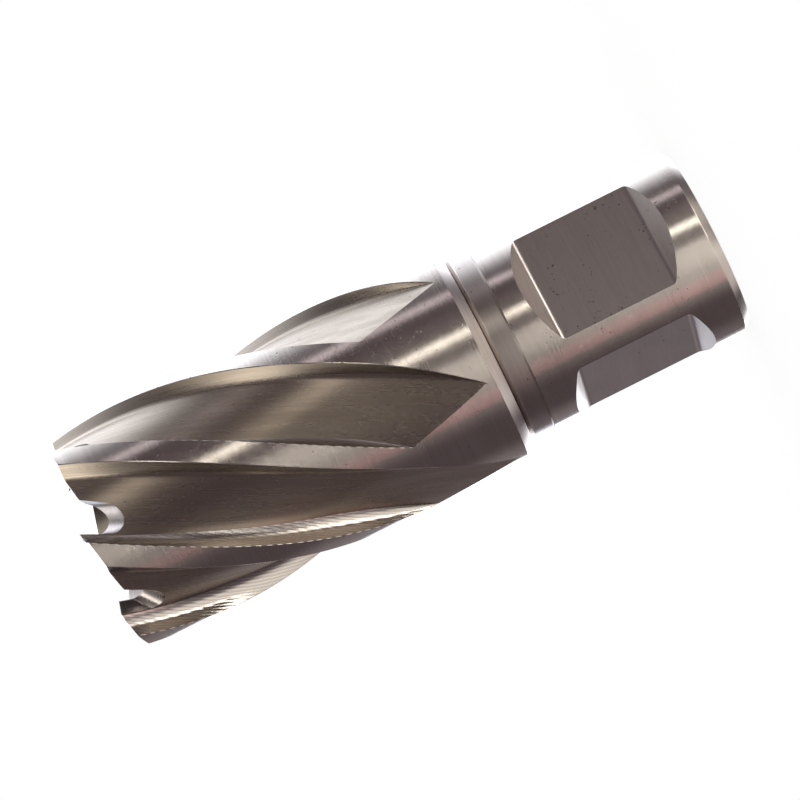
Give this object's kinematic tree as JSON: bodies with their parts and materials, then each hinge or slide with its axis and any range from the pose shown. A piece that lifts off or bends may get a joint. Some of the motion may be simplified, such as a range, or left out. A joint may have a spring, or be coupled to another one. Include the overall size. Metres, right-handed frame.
{
  "type": "annular cutter",
  "caption": "Hollow steel milling cutter with helical flutes, ground teeth around a slug cavity, and a straight shank with two clamping flats and a through bore.",
  "frame": {"origin": "centre of the shank's flat end face, on the cutter's axis", "axes": "+Z along the axis from the shank towards the teeth; -Y is the outward normal of the first clamping flat and -X that of the second"},
  "size_m": [0.0222, 0.0222, 0.0657],
  "materials": {
    "high_speed_steel": "ground and lightly polished, with fine circular grinding lines"
  },
  "bodies": {
    "root": {"annular_cutter": "high_speed_steel"}
  },
  "joints": []
}
